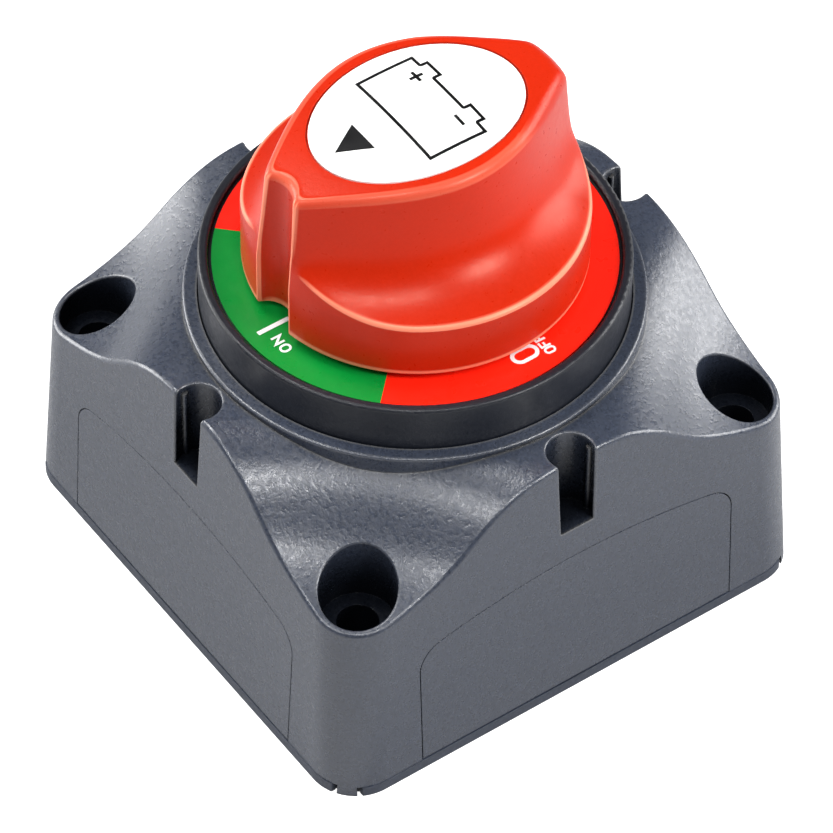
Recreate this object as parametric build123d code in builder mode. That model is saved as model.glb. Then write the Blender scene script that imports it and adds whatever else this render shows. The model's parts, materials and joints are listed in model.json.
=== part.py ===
"""Single-pole battery isolator switch for a small boat.

Surface-mount housing with four sloping corners, a round switch module with a
two-colour dial, and a quarter-turn knob that carries a bridging contact
between two rear terminal studs.

Frame: millimetres, origin at the centre of the rear mounting face, +Z along
the knob's axis away from the bulkhead, -Y towards the ON mark and +X towards
the OFF mark. The knob rests at ON.
"""
import os
from math import atan, cos, degrees, pi, sin, sqrt

from build123d import *

os.makedirs("parts", exist_ok=True)

# ---------------------------------------------------------------- housing
BASE_SIDE = 69.0                # square footprint
CORNER_R = 6.2                  # vertical corner radius
DRAFT = 0.05                    # wall lean per mm of height
PLATEAU_Z = 39.0                # flat top around the dial
WALL = 2.4
COVER_T = 1.5                   # rear cover thickness
HOLE_OFFSET = 27.5              # mounting hole from the centre, each way
HOLE_R = 2.53                   # clearance for a 5 mm screw
SEAT_Z = 23.5                   # face that the mounting screw's head bears on
SEAT_R = 4.4
SEAT_TAPER = 2.5                # degrees, widening upwards
FOOT_R = 6.6                    # round foot about each mounting hole
CAVITY_TOP_Z = 25.0             # roof of the wiring space
KEY_OFFSET = 31.1               # keyhole slot's axis from the centre
KEY_R = 2.85
KEY_FLOOR_Z = 27.5
KEY_RIB_R = 0.4
CLEAR = 60.0                    # beyond the housing in any direction
RAMP_BOW = 87.0                 # upright axis on the diagonal that each slope is turned about
RAMP_SWING = 40.0               # degrees of turn that cover the whole corner
RAMP_HEAD = 18.0                # slope's head and foot, out from the switch's axis
RAMP_FOOT = 48.5
RAMP_HEAD_Z = PLATEAU_Z + 0.1   # just above the plateau, so that the slope cuts into it cleanly
RAMP_FOOT_Z = 26.0
RIM_EDGE_R = 0.6                # rounding where the top meets the outer walls
MOUTH_EDGE_R = 0.25             # rounding about the wells and keyholes

# ---------------------------------------------------------------- cable panels
PANEL_HALF = 22.8               # half width of a side cable panel
PANEL_CORNER_R = 3.8
PANEL_SHOULDER = 19.8           # height where the arch springs
PANEL_CROWN = 22.8              # height of the arch
PANEL_GAP = 0.15                # visible joint line
PANEL_FOOT = COVER_T + 0.25     # clear of the rear cover across the whole wall
TONGUE = 0.8                    # how far the panel's tongue reaches into the wall
TONGUE_DEPTH = 0.8              # of the tongue's face below the wall's face
TONGUE_H = 12.0
TONGUE_FIT = 0.1                # groove about the tongue

# ---------------------------------------------------------------- rear cover
COVER_GAP = 0.15                # about each corner foot
TAB_T = 1.6                     # tabs that stand behind the side panels
TAB_W = 14.0
TAB_H = 7.5
TAB_OFFSET = BASE_SIDE / 2 - WALL - 0.7 - TAB_T / 2
COVER_RING_R = 27.0             # stiffening ring about the terminals
COVER_RING_T = 1.4
COVER_RING_H = 1.0

# ---------------------------------------------------------------- switch module
COLLAR_R = 27.65                # raised collar on the plateau
COLLAR_Z = 39.75
COLLAR_EDGE_R = 0.35
BEZEL_R = 25.75
BEZEL_TOP_Z = 46.0
BEZEL_FOOT_Z = 37.0
BEZEL_SKIRT_T = 1.45
BEZEL_EDGE_R = 0.4
BEZEL_FIT = 0.15
LIP_Z = 34.6                    # underside of the lip that the module clamps
LIP_R = 24.2
LEDGE_Z = 36.5                  # gasket seat
DIAL_SEAT_Z = 45.0
DIAL_R = 24.1
DIAL_BORE_R = 8.6
DIAL_RECESS_R = 24.5
DIAL_T = 0.3
MARK_T = 0.05                   # printed layer
DECK_Z = 41.0                   # underside of the bezel's deck
SEAL_GROOVE_Z = 42.2
SEAL_GROOVE_H = 1.8
SEAL_GROOVE_R = 6.85
SEAL_WIRE_R = 0.87
DRUM_R = 23.8
DRUM_BORE_R = 21.4
DRUM_FLOOR_Z = 20.0
DRUM_FLOOR_T = 3.0
DRUM_FLANGE_R = 26.2
DRUM_FLANGE_T = 3.0
DRUM_TOP_Z = DECK_Z - 0.1
BARRIER_Z = 8.0                 # foot of the wall between the terminals
BARRIER_T = 1.6
BARRIER_W = 40.0
SCREW_RING_R = 20.2             # module screws, on the diagonals
SCREW_BOSS_R = 3.2
SCREW_R = 1.25                  # M2.5 thread, drawn at its outside radius
SCREW_L = 9.2
SCREW_HEAD_R = 2.2
SCREW_HEAD_H = 1.6
SCREW_SEAT_Z = 35.0
SCREW_FIT = 0.15
SCREW_CROSS = 3.0               # cross recess: span, width and depth
SCREW_CROSS_W = 0.6
SCREW_CROSS_H = 0.8

# ---------------------------------------------------------------- terminals
STUD_X = 11.0                   # terminal studs either side of the axis
STUD_R = 5.0                    # M10 thread, drawn at its outside radius
STUD_FIT = 0.1
STUD_HEAD_R = 6.4
STUD_HEAD_T = 3.0
STUD_END_Z = 3.0
STUD_CHAMFER = 0.8
WASHER_R = 9.5
WASHER_T = 2.0
SPRING_WASHER_R = 8.4
SPRING_WASHER_T = 2.2
SPRING_WASHER_SPLIT = 1.4
NUT_FLAT = 8.0                  # half the distance across flats
NUT_T = 8.0
FLOOR_TOP_Z = DRUM_FLOOR_Z + DRUM_FLOOR_T
CONTACT_Z = FLOOR_TOP_Z + STUD_HEAD_T
NUT_TOP_Z = DRUM_FLOOR_Z - WASHER_T - SPRING_WASHER_T

# ---------------------------------------------------------------- contacts
LIFT = 2.0                      # bridge travel over the quarter turn
TIP_R = 3.4                     # silver contact tips
TIP_T = 0.8
TIP_X = 10.0
BRIDGE_L = 28.0
BRIDGE_W = 9.0
BRIDGE_T = 3.0
CARRIER_R = 11.5
CARRIER_T = 3.4
CARRIER_NECK_R = 6.5
CARRIER_H = 6.4
CARRIER_Z = CONTACT_Z + TIP_T + BRIDGE_T
CHEEK_Y = 5.55                  # cheeks that carry the bridge round
CHEEK_L = 12.0
CHEEK_T = 2.0
CHEEK_H = 2.2
PIN_Z = CARRIER_Z + CARRIER_T / 2
PIN_R = 1.0
PIN_HOLE_Y = 6.0                # blind end of the hole
PIN_START_Y = 6.1
PIN_L = 10.3
CAM_R = 14.6                    # bore of the cam sleeve
CAM_T = 2.2
CAM_FOOT_Z = CARRIER_Z - 0.9
CAM_FLANGE_T = 2.0
CAM_SLOT_R = 1.15
CAM_LEAD = 4.0 * LIFT           # rise per full turn
CAM_TURN = 100.0                # degrees of slot: the quarter turn and an over-run
CAM_OVER_RUN = 5.0              # degrees beyond the pin at ON
SPRING_R = 8.8
SPRING_WIRE_R = 0.45
SPRING_TURNS = 2.5
SPRING_GAP = 0.02

# ---------------------------------------------------------------- spindle
SPINDLE_R = 5.0
SPINDLE_FIT = 0.05              # running clearance on the radius
SQUARE = 7.0
SPINDLE_FOOT_Z = CARRIER_Z + LIFT + 0.2
SPINDLE_TOP_Z = 58.0
SPINDLE_BORE_H = 10.5
THRUST_TOP_Z = DECK_Z - 0.1
THRUST_T = 2.2
THRUST_R = 11.0

# ---------------------------------------------------------------- knob
KNOB_FOOT_Z = 46.6
KNOB_FOOT_R = 20.5
KNOB_DRAFT = 0.055
KNOB_TOP_Z = 69.8               # crown of the domed top
KNOB_DOME_R = 88.0
RIM_Z = 52.8                    # level of the scoop's foot
RIM_R = 20.85                   # the scoop's foot, just outside the skirt
GRIP_HALF = 12.1                # half width of the grip's top
GRIP_FRONT_X = 3.1              # half width of the grip's ends, towards -Y and +Y
GRIP_BACK_X = 3.3
SHOULDER_Y = -9.8               # where the grip starts to narrow towards -Y
SHOULDER_X = 8.9
NOTCH_HALF = 3.2                # pointer notch down the -Y end
NOTCH_Y = 21.0
NOTCH_DEPTH = 2.8
KNOB_SHELL_R = 17.6             # inside of the skirt
KNOB_RING_Z = 50.0
KNOB_POCKET_Z = 63.0            # roof of the pocket in the grip
KNOB_POCKET_A = 9.0
KNOB_POCKET_B = 14.5
HUB_FOOT_Z = 46.0
HUB_R = 7.5
SQUARE_Z = 50.0                 # where the spindle's upper square starts
KNOB_SCREW_SEAT_Z = 61.5
KNOB_SCREW_R = 2.0              # M4 thread, drawn at its outside radius
KNOB_SCREW_L = 13.0
KNOB_SCREW_HEAD_R = 3.5
KNOB_SCREW_HEAD_H = 2.2
KNOB_SCREW_CROSS = 4.4          # cross recess: span, width and depth
KNOB_SCREW_CROSS_W = 0.9
KNOB_SCREW_CROSS_H = 1.2

# ---------------------------------------------------------------- knob label
LABEL_A = 9.85                  # oval label, across the grip
LABEL_B = 13.7                  # oval label, along the grip
LABEL_SINK = 0.35
LABEL_T = 0.25
LABEL_GAP = 0.1
LABEL_LOW_Z = 66.0              # safely under the label everywhere
BATTERY_HALF = 7.5
BATTERY_FOOT_Y = -3.5
BATTERY_HEAD_Y = 4.6
POST_INNER = 2.8
POST_OUTER = 5.8
POST_H = 1.0
LINE_W = 0.4
SIGN_X = 4.3
SIGN_Y = 2.9
SIGN_W = 1.8
POINTER_HALF = 2.3
POINTER_FOOT_Y = -7.55
POINTER_TIP_Y = -11.5

# ---------------------------------------------------------------- dial lettering
LETTER_H = 1.5
STROKE = 0.28
ON_BAR_Y = -20.3
ON_BAR_W = 0.6
ON_BAR_L = 4.4
ON_WORD_Y = -21.15
OFF_RING_X = 20.4
OFF_RING_Y = 1.1
OFF_WORD_Y = 3.95

SIDES = {0: "front", 90: "right", 180: "back", 270: "left"}


def save(part, name):
    """Label one finished piece and write it out."""
    part.label = name
    export_step(part, f"parts/{name}.step")


def four_corners():
    """Locations of the four mounting holes."""
    return GridLocations(2 * HOLE_OFFSET, 2 * HOLE_OFFSET, 2, 2)


def module_screw_ring():
    """Locations of the four module screws, on the diagonals."""
    return PolarLocations(SCREW_RING_R, 4, start_angle=45)


def side_plane(angle):
    """Leaning outer face of one wall: x runs along it, y up, z outwards."""
    a = (angle - 90) * pi / 180
    foot = (cos(a) * BASE_SIDE / 2, sin(a) * BASE_SIDE / 2, 0)
    return Plane(foot, x_dir=(-sin(a), cos(a), 0), z_dir=(cos(a), sin(a), DRAFT))


# ================================================================ housing
def on_rim(edge):
    """Whether an edge runs where the slopes or the plateau meet the outer walls."""
    middle = edge @ 0.5
    wall = BASE_SIDE / 2 - DRAFT * middle.Z
    near = wall - (1 - 1 / sqrt(2)) * CORNER_R - 0.4
    return middle.Z > SEAT_Z and max(abs(middle.X), abs(middle.Y)) > near


def on_well_mouth(edge):
    """Whether an edge runs round the mouth of a mounting screw's well."""
    points = [edge @ 0, edge @ 0.5, edge @ 1]
    reaches = [
        sqrt((abs(point.X) - HOLE_OFFSET) ** 2 + (abs(point.Y) - HOLE_OFFSET) ** 2)
        for point in points
    ]
    above_seat = min(point.Z for point in points) > SEAT_Z + 1
    return above_seat and all(SEAT_R < reach < SEAT_R + 0.75 for reach in reaches)


def on_key_mouth(edge):
    """Whether an edge is the round mouth of a keyhole, on the plateau."""
    on_plateau = abs((edge @ 0.5).Z - PLATEAU_Z) < 0.001
    return on_plateau and edge.geom_type == GeomType.CIRCLE and abs(edge.radius - KEY_R) < 0.001


def cover_sketch(side, foot_r):
    """Square footprint with a round bite at each corner foot."""
    with BuildSketch(Plane.XY) as outline:
        RectangleRounded(side, side, CORNER_R)
        with four_corners():
            Circle(foot_r, mode=Mode.SUBTRACT)
        with GridLocations(side, side, 2, 2):
            Rectangle(foot_r, foot_r, mode=Mode.SUBTRACT)
    return outline.sketch


def panel_sketch(angle, grow):
    """Side panel's outline on its leaning wall: flat foot, rounded shoulders, arched head."""
    left = (-PANEL_HALF, PANEL_SHOULDER)
    right = (PANEL_HALF, PANEL_SHOULDER)
    with BuildSketch(side_plane(angle)) as outline:
        with BuildLine():
            Polyline(left, (-PANEL_HALF, PANEL_FOOT), (PANEL_HALF, PANEL_FOOT), right)
            ThreePointArc(left, (0, PANEL_CROWN), right)
        make_face()
        fillet(outline.vertices().sort_by(Axis.Y)[-2:], PANEL_CORNER_R)
        if grow > 0:
            offset(amount=grow, kind=Kind.ARC)
    return outline.sketch


def tongue_sketch(angle, depth, grow):
    """Strip wider than the panel, part way through the wall, that guides the panel in."""
    with BuildSketch(side_plane(angle).offset(-depth)) as strip:
        with Locations((0, PANEL_FOOT + TONGUE_H / 2)):
            Rectangle(2 * (PANEL_HALF + TONGUE + grow), TONGUE_H + 2 * grow)
    return strip.sketch


with BuildPart() as cavity:
    # wiring space: the outer shape drawn in by one wall, less the corner posts
    inner = BASE_SIDE - 2 * WALL
    inner_top = inner - 2 * DRAFT * CAVITY_TOP_Z
    with BuildSketch(Plane.XY):
        RectangleRounded(inner, inner, CORNER_R - WALL)
    with BuildSketch(Plane.XY.offset(CAVITY_TOP_Z)):
        RectangleRounded(inner_top, inner_top, CORNER_R - WALL)
    loft()
    with BuildSketch(Plane.XY):
        with four_corners():
            Circle(FOOT_R - 0.2)
    extrude(amount=CAVITY_TOP_Z, mode=Mode.SUBTRACT)

with BuildPart() as ramp_cut:
    # everything above one corner slope: an S-curve turned about an upright axis beyond the corner
    bow_axis = Axis((RAMP_BOW / sqrt(2), RAMP_BOW / sqrt(2), 0), (0, 0, 1))
    first = (225 - RAMP_SWING / 2) * pi / 180
    way = (cos(first), sin(first), 0)
    with BuildSketch(Plane(bow_axis.position, x_dir=way, z_dir=(way[1], -way[0], 0))):
        with BuildLine():
            slope = Spline(
                (RAMP_BOW - RAMP_HEAD, RAMP_HEAD_Z), (RAMP_BOW - 25.0, 38.45),
                (RAMP_BOW - 30.0, 35.7), (RAMP_BOW - 34.9, 31.4), (RAMP_BOW - 39.5, 28.8),
                (RAMP_BOW - RAMP_FOOT, RAMP_FOOT_Z),
                tangents=[(-1, -0.02), (-1, -0.28)],
            )
            Polyline(
                slope @ 1, (RAMP_BOW - CLEAR, RAMP_FOOT_Z), (RAMP_BOW - CLEAR, CLEAR),
                (RAMP_BOW - RAMP_HEAD, CLEAR), slope @ 0,
            )
        make_face()
    revolve(axis=bow_axis, revolution_arc=RAMP_SWING)

with BuildPart() as housing:
    top_side = BASE_SIDE - 2 * DRAFT * PLATEAU_Z
    with BuildSketch(Plane.XY):
        RectangleRounded(BASE_SIDE, BASE_SIDE, CORNER_R)
    with BuildSketch(Plane.XY.offset(PLATEAU_Z)):
        RectangleRounded(top_side, top_side, CORNER_R)
    loft()
    for side in SIDES:
        add(ramp_cut.part.rotate(Axis.Z, side), mode=Mode.SUBTRACT)
    fillet([edge for edge in housing.edges() if on_rim(edge)], RIM_EDGE_R)
    # raised collar about the switch module
    with BuildSketch(Plane.XY.offset(LIP_Z)):
        Circle(COLLAR_R)
    extrude(amount=COLLAR_Z - LIP_Z)
    fillet(housing.edges().filter_by(GeomType.CIRCLE).group_by(Axis.Z)[-1], COLLAR_EDGE_R)
    # wiring space and the stepped opening for the module
    add(cavity.part, mode=Mode.SUBTRACT)
    for foot_z, bore_r, top_z in (
        (CAVITY_TOP_Z - 1, DRUM_FLANGE_R + 0.4, LIP_Z),
        (LIP_Z - 1, LIP_R, CLEAR),
        (LEDGE_Z, BEZEL_R + BEZEL_FIT, CLEAR),
    ):
        with BuildSketch(Plane.XY.offset(foot_z)):
            Circle(bore_r)
        extrude(amount=top_z - foot_z, mode=Mode.SUBTRACT)
    # seat for the rear cover, leaving the corner feet standing
    extrude(cover_sketch(BASE_SIDE + 1, FOOT_R), amount=COVER_T, mode=Mode.SUBTRACT)
    # side panel openings, open at the foot, with their grooves
    through = -WALL - 1
    for side in SIDES:
        extrude(panel_sketch(side, PANEL_GAP), amount=through, mode=Mode.SUBTRACT)
        groove = tongue_sketch(side, TONGUE_DEPTH - TONGUE_FIT, TONGUE_FIT)
        extrude(groove, amount=-TONGUE - 2 * TONGUE_FIT, mode=Mode.SUBTRACT)
        with BuildSketch(side_plane(side)):
            with Locations((0, COVER_T)):
                Rectangle(2 * (PANEL_HALF + PANEL_GAP), 2.0)
        extrude(amount=through, mode=Mode.SUBTRACT)
    # mounting holes, each with a slightly conical well for the screw's head
    with BuildSketch(Plane.XY):
        with four_corners():
            Circle(HOLE_R)
    extrude(amount=PLATEAU_Z, mode=Mode.SUBTRACT)
    with BuildSketch(Plane.XY.offset(SEAT_Z)):
        with four_corners():
            Circle(SEAT_R)
    extrude(amount=PLATEAU_Z - SEAT_Z, taper=-SEAT_TAPER, mode=Mode.SUBTRACT)
    fillet([edge for edge in housing.edges() if on_well_mouth(edge)], MOUTH_EDGE_R)
    # keyhole slots that break out through the side walls, with a gripping rib each side
    with BuildSketch(Plane.XY.offset(KEY_FLOOR_Z)):
        with PolarLocations(KEY_OFFSET, 4):
            Circle(KEY_R)
    extrude(amount=CLEAR, mode=Mode.SUBTRACT)
    fillet([edge for edge in housing.edges() if on_key_mouth(edge)], MOUTH_EDGE_R)
    with BuildSketch(Plane.XY.offset(KEY_FLOOR_Z)):
        with PolarLocations(KEY_OFFSET, 4):
            with Locations((0, KEY_R), (0, -KEY_R)):
                Circle(KEY_RIB_R)
    extrude(amount=PLATEAU_Z - 1 - KEY_FLOOR_Z)
save(housing.part, "housing")

for side, side_name in SIDES.items():
    with BuildPart() as cable_panel:
        extrude(panel_sketch(side, 0), amount=-WALL)
        extrude(tongue_sketch(side, TONGUE_DEPTH, 0), amount=-TONGUE)
    save(cable_panel.part, f"cable_panel_{side_name}")

with BuildPart() as rear_cover:
    extrude(cover_sketch(BASE_SIDE, FOOT_R + COVER_GAP), amount=COVER_T)
    with BuildSketch(Plane.XY.offset(COVER_T)):
        Circle(COVER_RING_R)
        Circle(COVER_RING_R - COVER_RING_T, mode=Mode.SUBTRACT)
    extrude(amount=COVER_RING_H)
    with BuildSketch(Plane.XY.offset(COVER_T)):
        with PolarLocations(TAB_OFFSET, 4):
            Rectangle(TAB_T, TAB_W)
    extrude(amount=TAB_H)
save(rear_cover.part, "rear_cover")

# ================================================================ switch module
with BuildPart() as bezel:
    with BuildSketch(Plane.XZ):
        with BuildLine():
            Polyline(
                (SPINDLE_R + SPINDLE_FIT, DECK_Z), (BEZEL_R - BEZEL_SKIRT_T, DECK_Z),
                (BEZEL_R - BEZEL_SKIRT_T, BEZEL_FOOT_Z), (BEZEL_R, BEZEL_FOOT_Z),
                (BEZEL_R, BEZEL_TOP_Z), (DIAL_RECESS_R, BEZEL_TOP_Z),
                (DIAL_RECESS_R, DIAL_SEAT_Z), (SPINDLE_R + SPINDLE_FIT, DIAL_SEAT_Z),
                close=True,
            )
        make_face()
    revolve(axis=Axis.Z)
    fillet(bezel.edges().filter_by(GeomType.CIRCLE).group_by(Axis.Z)[-1], BEZEL_EDGE_R)
    # groove for the shaft's seal, and the threads of the module screws
    with BuildSketch(Plane.XY.offset(SEAL_GROOVE_Z)):
        Circle(SEAL_GROOVE_R)
        Circle(SPINDLE_R, mode=Mode.SUBTRACT)
    extrude(amount=SEAL_GROOVE_H, mode=Mode.SUBTRACT)
    with BuildSketch(Plane.XY.offset(DECK_Z)):
        with module_screw_ring():
            Circle(SCREW_R + 0.02)
    extrude(amount=SCREW_SEAT_Z + SCREW_L + 0.2 - DECK_Z, mode=Mode.SUBTRACT)
save(bezel.part, "bezel")

with BuildPart() as bezel_gasket:
    with BuildSketch(Plane.XY.offset(LEDGE_Z)):
        Circle(BEZEL_R - 0.05)
        Circle(LIP_R + 0.1, mode=Mode.SUBTRACT)
    extrude(amount=BEZEL_FOOT_Z - LEDGE_Z)
save(bezel_gasket.part, "bezel_gasket")

with BuildPart() as shaft_o_ring:
    with BuildSketch(Plane.XZ):
        with Locations((SPINDLE_R + SEAL_WIRE_R + 0.03, SEAL_GROOVE_Z + SEAL_GROOVE_H / 2)):
            Circle(SEAL_WIRE_R)
    revolve(axis=Axis.Z)
save(shaft_o_ring.part, "shaft_o_ring")

with BuildPart() as drum:
    with BuildSketch(Plane.XZ):
        with BuildLine():
            Polyline(
                (0, DRUM_FLOOR_Z), (DRUM_R, DRUM_FLOOR_Z), (DRUM_R, LIP_Z - DRUM_FLANGE_T),
                (DRUM_FLANGE_R, LIP_Z - DRUM_FLANGE_T), (DRUM_FLANGE_R, LIP_Z), (DRUM_R, LIP_Z),
                (DRUM_R, DRUM_TOP_Z), (DRUM_BORE_R, DRUM_TOP_Z), (DRUM_BORE_R, FLOOR_TOP_Z),
                (0, FLOOR_TOP_Z),
                close=True,
            )
        make_face()
    revolve(axis=Axis.Z)
    with BuildSketch(Plane.XY.offset(DRUM_FLOOR_Z)):
        with module_screw_ring():
            Circle(SCREW_BOSS_R)
    extrude(amount=DECK_Z - CAM_FLANGE_T - DRUM_FLOOR_Z)
    with BuildSketch(Plane.XY.offset(BARRIER_Z)):
        Rectangle(BARRIER_T, BARRIER_W)
    extrude(amount=DRUM_FLOOR_Z - BARRIER_Z)
    # screw holes, their counterbores from below, and the stud holes
    for hole_r, top_z in ((SCREW_R + SCREW_FIT, DECK_Z), (SCREW_HEAD_R + 0.2, SCREW_SEAT_Z)):
        with BuildSketch(Plane.XY.offset(DRUM_FLOOR_Z)):
            with module_screw_ring():
                Circle(hole_r)
        extrude(amount=top_z - DRUM_FLOOR_Z, mode=Mode.SUBTRACT)
    with BuildSketch(Plane.XY.offset(DRUM_FLOOR_Z)):
        with Locations((-STUD_X, 0), (STUD_X, 0)):
            Circle(STUD_R + STUD_FIT)
    extrude(amount=DRUM_FLOOR_T, mode=Mode.SUBTRACT)
save(drum.part, "drum")


def cross_recess(span, width, depth, align_z):
    """Cross slot for a driver, cut from the head's face at the current location."""
    for across, along in ((span, width), (width, span)):
        Box(across, along, depth, align=(Align.CENTER, Align.CENTER, align_z), mode=Mode.SUBTRACT)


with BuildPart() as module_screws:
    with module_screw_ring():
        with Locations((0, 0, SCREW_SEAT_Z)):
            Cylinder(SCREW_R, SCREW_L, align=(Align.CENTER, Align.CENTER, Align.MIN))
            Cylinder(SCREW_HEAD_R, SCREW_HEAD_H, align=(Align.CENTER, Align.CENTER, Align.MAX))
        with Locations((0, 0, SCREW_SEAT_Z - SCREW_HEAD_H)):
            cross_recess(SCREW_CROSS, SCREW_CROSS_W, SCREW_CROSS_H, Align.MIN)
save(module_screws.part, "module_screws")


# ================================================================ dial
def dial_face(name, wedge_mode):
    """Flat dial sector: the 90 degree wedge about -Y, or the rest of the ring."""
    with BuildPart() as sector:
        with BuildSketch(Plane.XY.offset(DIAL_SEAT_Z)):
            Circle(DIAL_R)
            Polygon((0, 0), (CLEAR, -CLEAR), (-CLEAR, -CLEAR), align=None, mode=wedge_mode)
            Circle(DIAL_BORE_R, mode=Mode.SUBTRACT)
        extrude(amount=DIAL_T)
    save(sector.part, name)


def letter_o(x, y, width, height, stroke):
    """Ring letter centred on x, y, with straight sides and round ends."""
    with Locations((x, y)):
        SlotOverall(height, width, rotation=90)
        SlotOverall(height - 2 * stroke, width - 2 * stroke, rotation=90, mode=Mode.SUBTRACT)


def letter_n(x, y):
    """N turned to read from +Y, like all the dial's lettering."""
    half_w = 0.5
    half_h = (LETTER_H - STROKE) / 2
    with BuildLine() as strokes:
        Polyline(
            (x + half_w, y + half_h), (x + half_w, y - half_h),
            (x - half_w, y + half_h), (x - half_w, y - half_h),
        )
    trace(strokes.line, line_width=STROKE)


def letter_f(x, y):
    """F turned to read from +Y: its stem is on the +X side."""
    half_w = 0.4
    half_h = (LETTER_H - STROKE) / 2
    with BuildLine() as strokes:
        Polyline((x + half_w, y + half_h), (x + half_w, y - half_h), (x - half_w, y - half_h))
        Line((x + half_w, y - 0.05), (x - half_w + 0.15, y - 0.05))
    trace(strokes.line, line_width=STROKE)


dial_face("dial_label_on", Mode.INTERSECT)
dial_face("dial_label_off", Mode.SUBTRACT)

with BuildPart() as dial_marks:
    with BuildSketch(Plane.XY.offset(DIAL_SEAT_Z + DIAL_T)):
        with Locations((0, ON_BAR_Y)):
            Rectangle(ON_BAR_W, ON_BAR_L)
        letter_n(2.15, ON_WORD_Y)
        letter_o(3.7, ON_WORD_Y, 1.25, LETTER_H, STROKE)
        letter_o(OFF_RING_X, OFF_RING_Y, 2.3, 3.7, 0.5)
        letter_o(21.5, OFF_WORD_Y, 1.1, LETTER_H, STROKE)
        letter_f(20.35, OFF_WORD_Y)
        letter_f(19.2, OFF_WORD_Y)
    extrude(amount=MARK_T)
save(dial_marks.part, "dial_marks")

# ================================================================ terminals
with BuildPart() as terminal_studs:
    with Locations((-STUD_X, 0, STUD_END_Z), (STUD_X, 0, STUD_END_Z)):
        Cylinder(STUD_R, FLOOR_TOP_Z - STUD_END_Z, align=(Align.CENTER, Align.CENTER, Align.MIN))
    with Locations((-STUD_X, 0, FLOOR_TOP_Z), (STUD_X, 0, FLOOR_TOP_Z)):
        Cylinder(STUD_HEAD_R, STUD_HEAD_T, align=(Align.CENTER, Align.CENTER, Align.MIN))
    chamfer(terminal_studs.edges().filter_by(GeomType.CIRCLE).group_by(Axis.Z)[0], STUD_CHAMFER)
save(terminal_studs.part, "terminal_studs")

with BuildPart() as stud_washers:
    with BuildSketch(Plane.XY.offset(DRUM_FLOOR_Z - WASHER_T)):
        with Locations((-STUD_X, 0), (STUD_X, 0)):
            Circle(WASHER_R)
            Circle(STUD_R + 0.25, mode=Mode.SUBTRACT)
    extrude(amount=WASHER_T)
save(stud_washers.part, "stud_washers")

with BuildPart() as spring_washers:
    split_y = (SPRING_WASHER_R + STUD_R) / 2
    with BuildSketch(Plane.XY.offset(NUT_TOP_Z)):
        with Locations((-STUD_X, 0), (STUD_X, 0)):
            Circle(SPRING_WASHER_R)
            Circle(STUD_R + STUD_FIT, mode=Mode.SUBTRACT)
        with Locations((-STUD_X, split_y), (STUD_X, split_y)):
            Rectangle(SPRING_WASHER_SPLIT, 6, rotation=20, mode=Mode.SUBTRACT)
    extrude(amount=SPRING_WASHER_T)
save(spring_washers.part, "spring_washers")

with BuildPart() as stud_nuts:
    with BuildSketch(Plane.XY.offset(NUT_TOP_Z - NUT_T)):
        with Locations((-STUD_X, 0), (STUD_X, 0)):
            RegularPolygon(NUT_FLAT, 6, major_radius=False, rotation=30)
            Circle(STUD_R + 0.02, mode=Mode.SUBTRACT)
    extrude(amount=NUT_T)
save(stud_nuts.part, "stud_nuts")

# ================================================================ contacts
with BuildPart() as contact_bridge:
    with BuildSketch(Plane.XY.offset(CONTACT_Z + TIP_T)):
        SlotOverall(BRIDGE_L, BRIDGE_W)
    extrude(amount=BRIDGE_T)
    chamfer(contact_bridge.edges().group_by(Axis.Z)[-1], 0.3)
save(contact_bridge.part, "contact_bridge")

with BuildPart() as contact_tips:
    with Locations((-TIP_X, 0, CONTACT_Z), (TIP_X, 0, CONTACT_Z)):
        Cylinder(TIP_R, TIP_T, align=(Align.CENTER, Align.CENTER, Align.MIN))
save(contact_tips.part, "contact_tips")

with BuildPart() as contact_carrier:
    for shoulder_r, height in ((CARRIER_R, CARRIER_T), (CARRIER_NECK_R, CARRIER_H)):
        with BuildSketch(Plane.XY.offset(CARRIER_Z)):
            Circle(shoulder_r)
        extrude(amount=height)
    with BuildSketch(Plane.XY.offset(CARRIER_Z - CHEEK_H)):
        with Locations((0, CHEEK_Y), (0, -CHEEK_Y)):
            Rectangle(CHEEK_L, CHEEK_T)
    extrude(amount=CHEEK_H)
    with BuildSketch(Plane.XY.offset(CARRIER_Z)):
        Rectangle(SQUARE + 0.15, SQUARE + 0.15)
    extrude(amount=CARRIER_H, mode=Mode.SUBTRACT)
    # blind holes for the cam pins, one each way along Y
    for way in (1, -1):
        with BuildSketch(Plane.XZ.offset(way * PIN_HOLE_Y)):
            with Locations((0, PIN_Z)):
                Circle(PIN_R + 0.01)
        extrude(amount=way * CARRIER_R, mode=Mode.SUBTRACT)
save(contact_carrier.part, "contact_carrier")

with BuildPart() as cam_pins:
    for way in (1, -1):
        with BuildSketch(Plane.XZ.offset(way * PIN_START_Y)):
            with Locations((0, PIN_Z)):
                Circle(PIN_R)
        extrude(amount=way * PIN_L)
save(cam_pins.part, "cam_pins")

with BuildPart() as cam_slot:
    # helical gap for one pin, cut right through the sleeve
    with BuildLine():
        path = Helix(CAM_LEAD, CAM_LEAD * CAM_TURN / 360, CAM_R + CAM_T / 2)
    with BuildSketch(Plane(path @ 0, x_dir=(1, 0, 0), z_dir=path % 0)):
        Rectangle(CAM_T + 2, 2 * CAM_SLOT_R)
    sweep(path=path, is_frenet=True)

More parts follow.
